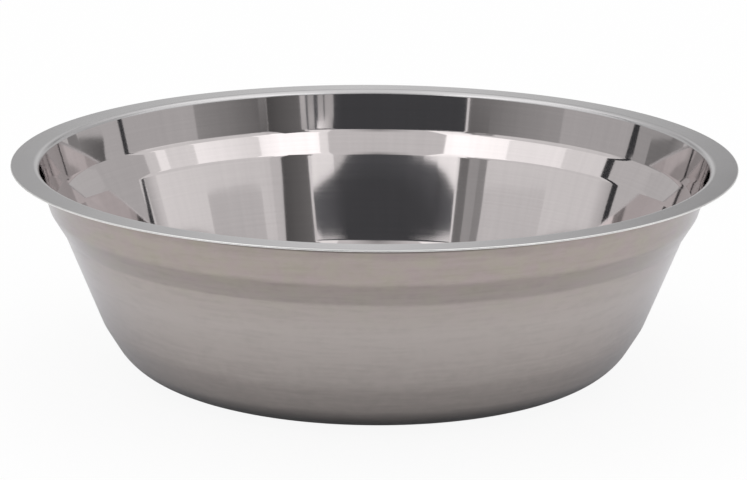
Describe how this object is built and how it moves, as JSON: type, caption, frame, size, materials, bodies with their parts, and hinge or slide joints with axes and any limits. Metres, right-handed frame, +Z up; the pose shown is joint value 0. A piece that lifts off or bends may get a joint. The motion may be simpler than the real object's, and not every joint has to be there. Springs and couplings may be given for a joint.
{
  "type": "metal pet bowl",
  "caption": "Round pressed steel pet bowl with a flat flange, a stepped tapered wall, a polished inside, a satin outside and a rubber non-skid ring under its base.",
  "frame": {"origin": "centre of the circle that the bowl stands on, at floor level", "axes": "+Z up along the bowl's axis of revolution; the bowl is round, so +X and +Y are free"},
  "size_m": [0.28, 0.28, 0.0822],
  "materials": {
    "steel": "polished inside, satin flange, brushed round the outside",
    "rubber": "matte"
  },
  "bodies": {
    "root": {"steel_bowl": "steel", "foot_ring": "rubber"}
  },
  "joints": []
}
